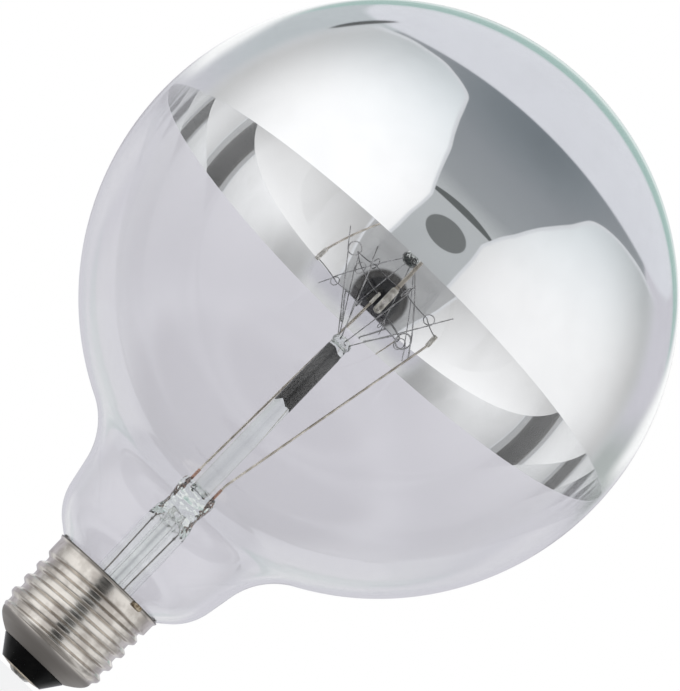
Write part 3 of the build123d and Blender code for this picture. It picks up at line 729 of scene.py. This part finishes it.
# The studio is a tent of cloth round the lamp. Its wall is a little lilac, paler low down, and
# greyer high on the left and in the corner behind, and it comes down to a grey table. An edge in
# the tent is given by its place, on the scale that it crosses, and by its softness.
WALL = (0.635, 0.625, 0.675)
WALL_LOW = (0.80, 0.80, 0.80)
WALL_LOW_EDGE = (0.30, 0.12)
TABLE = (0.30, 0.295, 0.29)
TABLE_EDGE = (0.75, 0.08)
WALL_HIGH = (0.54, 0.575, 0.595)
WALL_HIGH_EDGE = (0.25, 0.15)
WALL_LEFT_EDGE = (0.1, 0.2)
CORNER = (0.47, 0.50, 0.49)
CORNER_SIDE_EDGE = (0.35, 0.15)
CORNER_FRONT_EDGE = (0.25, 0.15)
CORNER_LOW_EDGE = (0.12, 0.04)
CORNER_HIGH_EDGE = (0.30, 0.08)
world = bpy.data.worlds.new("studio")
bpy.context.scene.world = world
world.use_nodes = True
tree = world.node_tree
tree.nodes.clear()


def sum_of(operation, first, second=None):
    """The two values joined in the tent's own tree."""
    return joined(tree, operation, first, second)


def step_up(value, middle, soft):
    """A soft step that goes from 0 to 1 round a middle."""
    return ranged(tree, value, middle - soft, middle + soft, 0, 1)


def step_down(value, middle, soft):
    """A soft step that goes from 1 to 0 round a middle."""
    return sum_of("SUBTRACT", 1.0, step_up(value, middle, soft))


def times(*values):
    """The product of some values. For shares it is 1 where all of them are 1."""
    product = values[0]
    for value in values[1:]:
        product = joined(tree, "MULTIPLY", product, value)
    return product


def facing(way):
    """How nearly a direction points one way, from -1 to 1."""
    node = tree.nodes.new("ShaderNodeVectorMath")
    node.operation = "DOT_PRODUCT"
    node.inputs[1].default_value = way
    tree.links.new(directions, node.inputs[0])
    return node.outputs["Value"]


directions = tree.nodes.new("ShaderNodeTexCoord").outputs["Generated"]
x, y, z = facing((1, 0, 0)), facing((0, 1, 0)), facing((0, 0, 1))
leftward, ahead, below = (times(way, -1) for way in (x, y, z))
tent = laid_over(tree, WALL, WALL_LOW, step_up(below, *WALL_LOW_EDGE))
tent = laid_over(tree, tent, TABLE, step_up(below, *TABLE_EDGE))
high_left = times(step_up(z, *WALL_HIGH_EDGE), step_up(leftward, *WALL_LEFT_EDGE))
tent = laid_over(tree, tent, WALL_HIGH, high_left)
corner_sides = times(step_up(x, *CORNER_SIDE_EDGE), step_up(y, *CORNER_FRONT_EDGE))
corner_heights = times(step_up(z, *CORNER_LOW_EDGE), step_down(z, *CORNER_HIGH_EDGE))
tent = laid_over(tree, tent, CORNER, times(corner_sides, corner_heights))


# The ceiling is dark cloth over the front of the tent. It spreads out as it rises, and gets
# darker towards the top.
CEILING = (
    (0.60, (0.50, 0.52, 0.53)),
    (0.70, (0.34, 0.36, 0.375)),
    (0.88, (0.285, 0.305, 0.325)),
    (0.95, (0.235, 0.26, 0.28)),
    (1.00, (0.19, 0.215, 0.235)),
)
CEILING_LOW_EDGE = (0.55, 0.02)
CEILING_BACK_EDGE = (0.42, 0.03)
CEILING_SPREAD = 1.05
CEILING_SIDE_EDGE = (0.0, 0.04)
ramp = tree.nodes.new("ShaderNodeValToRGB")
for position, shade in CEILING[1:-1]:
    ramp.color_ramp.elements.new(position)
for stop, (position, shade) in zip(ramp.color_ramp.elements, CEILING):
    stop.position = position
    stop.color = (*shade, 1)
tree.links.new(z, ramp.inputs["Fac"])
aside = sum_of("ABSOLUTE", x)
within_sides = sum_of("SUBTRACT", z, times(aside, CEILING_SPREAD))
over_front = times(step_up(z, *CEILING_LOW_EDGE), step_up(within_sides, *CEILING_SIDE_EDGE))
tent = laid_over(tree, tent, ramp.outputs["Color"], times(over_front, step_down(y, *CEILING_BACK_EDGE)))


# A grey strip of cloth hangs in front, from a seam at the ceiling down to the table. It has a
# port near its top, a dark opening lower down and a dark bar between them. Each is an oval, given
# by its place across and up, its half width, its half height and its softness.
STRIP_HIGH = (0.49, 0.51, 0.52)
STRIP_LOW = (0.40, 0.405, 0.41)
STRIP_SHADE_EDGE = (0.12, 0.22)
STRIP_SLOPE = 0.30
STRIP_WIDENING = 0.37
STRIP_SIDE_EDGE = (0.0, 0.02)
STRIP_TOP_EDGE = (0.58, 0.02)
STRIP_FOOT_EDGE = (-0.62, 0.1)
FRONT_EDGE = (0.0, 0.02)
SEAM = (0.13, 0.14, 0.14)
SEAM_RISE = 0.752
SEAM_WIDTH = 0.030
SEAM_TAPER = 0.30
SEAM_EDGE = (0.0, 0.005)
PORT = (0.185, 0.195, 0.195)
PORT_OVAL = (0.022, 0.43, 0.150, 0.086, 0.08)
BAR = (0.10, 0.105, 0.105)
BAR_OVAL = (0.03, 0.045, 0.44, 0.105, 0.30)
OPENING = (0.045, 0.043, 0.042)
OPENING_OVAL = (0.0, -0.170, 0.205, 0.205, 0.14)
OPENING_DEEP = (0.012, 0.012, 0.013)
OPENING_DEEP_OVAL = (0.0, -0.170, 0.150, 0.150, 0.12)


def oval(across, up, half_width, half_height, soft):
    """An oval patch of the front, with a soft edge."""
    wide = sum_of("DIVIDE", sum_of("SUBTRACT", x, across), half_width)
    tall = sum_of("DIVIDE", sum_of("SUBTRACT", z, up), half_height)
    reach = sum_of("ADD", times(wide, wide), times(tall, tall))
    return times(step_down(reach, 1.0, soft), front)


front = step_up(ahead, *FRONT_EDGE)
strip_side = sum_of("SUBTRACT", times(ahead, STRIP_SLOPE), aside)
widening = times(sum_of("MAXIMUM", below, 0), STRIP_WIDENING)
strip_width = times(step_up(sum_of("ADD", strip_side, widening), *STRIP_SIDE_EDGE), front)
strip_height = times(step_down(z, *STRIP_TOP_EDGE), step_up(z, *STRIP_FOOT_EDGE))
strip_colour = laid_over(tree, STRIP_LOW, STRIP_HIGH, step_up(z, *STRIP_SHADE_EDGE))
tent = laid_over(tree, tent, strip_colour, times(strip_width, strip_height))
off_seam = sum_of("ABSOLUTE", sum_of("SUBTRACT", z, times(ahead, SEAM_RISE)))
seam_width = sum_of("SUBTRACT", SEAM_WIDTH, times(times(x, x), SEAM_TAPER))
seam = times(step_up(sum_of("SUBTRACT", seam_width, off_seam), *SEAM_EDGE), front)
tent = laid_over(tree, tent, SEAM, seam)
for patch, place in (
    (PORT, PORT_OVAL),
    (BAR, BAR_OVAL),
    (OPENING, OPENING_OVAL),
    (OPENING_DEEP, OPENING_DEEP_OVAL),
):
    tent = laid_over(tree, tent, patch, oval(*place))


# A tall window stands on each side of the strip, with soft round corners and a pale hem of cloth
# round it. Each is brightest at its peak, cooler at its top, and fades out at the back.
LEFT_PEAK = (-0.749, -0.586, 0.309)
RIGHT_PEAK = (0.824, -0.476, 0.309)
PANEL_WAY = (0.0, 0.545, 0.839)
WINDOW_TO_PANEL = 0.824
PANEL_SCALE = 1.8
WINDOW_CORNER = 0.24
BOW_FROM = 0.60
FOLD_SIZE = 3.2
FOLD_DEPTH = 0.055
WINDOW_BACK_EDGE = (0.50, 0.10)
WINDOW_FOOT_EDGE = (-0.62, 0.14)
WINDOW_MIDDLE_EDGE = (0.02, 0.01)
WINDOW_EDGE = (0.0, 0.012)
HEM = (0.70, 0.715, 0.74)
HEM_EDGE = (-0.022, 0.006)
LIGHT_FROM = 0.42
LIGHT_POWER = 1.1
LOW_DIMMING = 0.10
LOW_DIMMING_EDGE = (0.10, 0.14)
COOLNESS = 0.05
COOLNESS_EDGE = (0.75, 0.35)


def with_window(under, side, slope, inner, bow, peak, dimmest, gain):
    """The tent with a window on one side, by the lie of its edges and the fall of its light."""
    out = times(x, side)
    bowed = times(sum_of("MAXIMUM", sum_of("ADD", y, BOW_FROM), 0), bow)
    from_ceiling = sum_of("SUBTRACT", out, sum_of("ADD", sum_of("DIVIDE", z, slope), bowed))
    from_strip = sum_of("SUBTRACT", out, sum_of("ADD", times(ahead, inner), widening))
    from_sides = sum_of("MINIMUM", from_ceiling, from_strip)
    from_panel = times(sum_of("SUBTRACT", WINDOW_TO_PANEL, to_panel), PANEL_SCALE)
    first = sum_of("MAXIMUM", sum_of("SUBTRACT", WINDOW_CORNER, from_sides), 0)
    second = sum_of("MAXIMUM", sum_of("SUBTRACT", WINDOW_CORNER, from_panel), 0)
    reach = sum_of("SQRT", sum_of("ADD", times(first, first), times(second, second)))
    depth = sum_of("ADD", sum_of("SUBTRACT", WINDOW_CORNER, reach), ruffle)
    kept = times(
        step_down(y, *WINDOW_BACK_EDGE),
        step_up(z, *WINDOW_FOOT_EDGE),
        step_up(out, *WINDOW_MIDDLE_EDGE),
    )
    hemmed = laid_over(tree, under, HEM, times(step_up(depth, *HEM_EDGE), kept))
    share = sum_of("POWER", ranged(tree, facing(peak), LIGHT_FROM, 1.0, 0.0, 1.0), LIGHT_POWER)
    dimmed = times(step_up(below, *LOW_DIMMING_EDGE), LOW_DIMMING)
    light = sum_of("SUBTRACT", sum_of("ADD", times(share, gain), dimmest), dimmed)
    cool = times(step_up(z, *COOLNESS_EDGE), COOLNESS)
    shade = tree.nodes.new("ShaderNodeCombineColor")
    tree.links.new(sum_of("SUBTRACT", light, cool), shade.inputs["Red"])
    tree.links.new(light, shade.inputs["Green"])
    tree.links.new(sum_of("ADD", light, times(cool, 0.5)), shade.inputs["Blue"])
    return laid_over(tree, hemmed, shade.outputs["Color"], times(step_up(depth, *WINDOW_EDGE), kept))


to_panel = facing(PANEL_WAY)
folds = tree.nodes.new("ShaderNodeTexNoise")
folds.inputs["Scale"].default_value = FOLD_SIZE
folds.inputs["Detail"].default_value = 1.0
tree.links.new(directions, folds.inputs["Vector"])
ruffle = times(sum_of("SUBTRACT", folds.outputs["Fac"], 0.5), FOLD_DEPTH)
tent = with_window(
    tent, side=-1, slope=2.55, inner=0.262, bow=0.0, peak=LEFT_PEAK, dimmest=0.60, gain=0.53
)
tent = with_window(
    tent, side=1, slope=2.15, inner=0.300, bow=0.08, peak=RIGHT_PEAK, dimmest=0.52, gain=0.50
)


# A pale round panel closes the top behind the ceiling. It has a green edge at its back, with a
# paler wall beyond, a white band low behind, and a dark rod that holds it up on the left.
PANEL = (0.735, 0.745, 0.79)
PANEL_EDGE = (0.847, 0.006)
PANEL_GREEN = (0.40, 0.54, 0.51)
PANEL_GREEN_EDGE = (0.742, 0.012)
BEYOND = (0.70, 0.78, 0.765)
BEYOND_EDGE = (0.865, 0.02)
PANEL_BOW = 0.68
PANEL_LOW_EDGE = (0.36, 0.06)
BAND = (1.0, 1.0, 1.0)
BAND_FRONT_EDGE = (0.80, 0.08)
BAND_LOW_EDGE = (0.20, 0.04)
BAND_HIGH_EDGE = (0.34, 0.05)
ROD = (0.11, 0.115, 0.115)
ROD_ALONG = (0.767, 0.057, 0.641)
ROD_ACROSS = (0.313, 0.835, -0.449)
ROD_HALF_LENGTH = 0.095
ROD_HALF_WIDTH = 0.028
ROD_EDGE = (1.0, 0.35)
ROD_SIDE_EDGE = (0.2, 0.1)
tent = laid_over(tree, tent, PANEL, step_up(to_panel, *PANEL_EDGE))
to_back = sum_of("SUBTRACT", y, times(times(x, x), PANEL_BOW))
raised = step_up(z, *PANEL_LOW_EDGE)
tent = laid_over(tree, tent, PANEL_GREEN, times(step_up(to_back, *PANEL_GREEN_EDGE), raised))
tent = laid_over(tree, tent, BEYOND, times(step_up(to_back, *BEYOND_EDGE), raised))
band_height = times(step_up(z, *BAND_LOW_EDGE), step_down(z, *BAND_HIGH_EDGE))
tent = laid_over(tree, tent, BAND, times(step_up(y, *BAND_FRONT_EDGE), band_height))
along = sum_of("DIVIDE", facing(ROD_ALONG), ROD_HALF_LENGTH)
across = sum_of("DIVIDE", facing(ROD_ACROSS), ROD_HALF_WIDTH)
rod_reach = sum_of("ADD", times(along, along), times(across, across))
rod_share = times(step_down(rod_reach, *ROD_EDGE), step_up(leftward, *ROD_SIDE_EDGE))
tent = laid_over(tree, tent, ROD, rod_share)


# Straight through the clear glass the plain wall shows, from behind as from the front, because
# the strip and the windows belong to what the mirror shows. Past the lamp the tent is plain white.
REFLECTED_EDGE = (0.5, 0.1)
THROUGH_BACK_EDGE = (0.1, 0.1)
THROUGH_HIGH_EDGE = (0.45, 0.1)
THROUGH_LOW_EDGE = (-0.65, 0.1)
PLAIN_WHITE = (1.0, 1.0, 1.0)
light_path = tree.nodes.new("ShaderNodeLightPath")
unreflected = step_down(light_path.outputs["Glossy Depth"], *REFLECTED_EDGE)
straight = times(light_path.outputs["Is Transmission Ray"], unreflected)
level = times(step_down(z, *THROUGH_HIGH_EDGE), step_up(z, *THROUGH_LOW_EDGE))
through_front = times(step_down(y, *THROUGH_BACK_EDGE), level)
tent = laid_over(tree, tent, WALL, times(straight, through_front))
seen = laid_over(tree, tent, PLAIN_WHITE, light_path.outputs["Is Camera Ray"])
glow = tree.nodes.new("ShaderNodeBackground")
tree.links.new(seen, glow.inputs["Color"])
output = tree.nodes.new("ShaderNodeOutputWorld")
tree.links.new(glow.outputs["Background"], output.inputs["Surface"])


# The floor is a plain pale sheet. It takes the lamp's shadow, and the glass and the mirror show
# the tent in its place. Light may pass many faces of glass on its way.
FLOOR_HALF = 3.0
FLOOR_COLOUR = (0.82, 0.82, 0.83)
FLOOR_GLOW = 0.75
FLOOR_ROUGHNESS = 0.7
FLOOR_BELOW = 0.2 * mm
floor_corners = [(a * FLOOR_HALF, b * FLOOR_HALF, 0) for a, b in ((-1, -1), (1, -1), (1, 1), (-1, 1))]
floor = skin("floor", floor_corners, [(0, 1, 2, 3)])
floor.location.z = -FLOOR_BELOW
floor.visible_glossy = False
floor.visible_transmission = False
floor_finish, tree, surface = new_finish("pale floor", FLOOR_COLOUR, FLOOR_ROUGHNESS)
glowing = tree.nodes.new("ShaderNodeEmission")
mixed = tree.nodes.new("ShaderNodeMixShader")
path = tree.nodes.new("ShaderNodeLightPath")
share = joined(tree, "MULTIPLY", path.outputs["Is Camera Ray"], FLOOR_GLOW)
tree.links.new(share, mixed.inputs["Fac"])
tree.links.new(surface.outputs["BSDF"], mixed.inputs[1])
tree.links.new(glowing.outputs["Emission"], mixed.inputs[2])
tree.links.new(mixed.outputs["Shader"], tree.nodes["Material Output"].inputs["Surface"])
floor.data.materials.append(floor_finish)

cycles = bpy.context.scene.cycles
cycles.max_bounces = 24
cycles.glossy_bounces = 16
cycles.transmission_bounces = 24
cycles.transparent_max_bounces = 16
bpy.context.scene.view_settings.view_transform = "Standard"


# The camera looks up at the lamp from the height of its contact, and is turned so that the
# lamp leans to the right.
CAMERA_DISTANCE = 644 * mm
CAMERA_TILT = radians(43.8)
SENSOR_WIDTH = 36
PIXELS_ACROSS, PIXELS_DOWN = 680, 691
FOCAL_PIXELS = 3125
GLOBE_PIXEL = (378.4, 298.9)
NEAR_LIMIT = 10 * mm
camera_data = bpy.data.cameras.new("camera")
camera_data.sensor_width = SENSOR_WIDTH
camera_data.lens = FOCAL_PIXELS * SENSOR_WIDTH / PIXELS_DOWN
camera_data.clip_start = NEAR_LIMIT
camera = bpy.data.objects.new("camera", camera_data)
bpy.context.scene.collection.objects.link(camera)
bpy.context.scene.camera = camera
camera.location = (0, -CAMERA_DISTANCE, 0)
to_globe = (Vector((0, 0, globe_centre)) - camera.location).normalized()
right = to_globe.cross(Vector((0, 0, 1))).normalized()
up = right.cross(to_globe)
lean = Matrix.Rotation(-CAMERA_TILT, 3, to_globe)
picture_right, picture_up = lean @ right, lean @ up
across = PIXELS_ACROSS / 2 - GLOBE_PIXEL[0]
down = GLOBE_PIXEL[1] - PIXELS_DOWN / 2
aim = (to_globe * FOCAL_PIXELS + picture_right * across + picture_up * down).normalized()
turn = to_globe.rotation_difference(aim)
picture_right, picture_up = turn @ picture_right, turn @ picture_up
camera.rotation_mode = "QUATERNION"
camera.rotation_quaternion = Matrix((picture_right, picture_up, -aim)).transposed().to_quaternion()
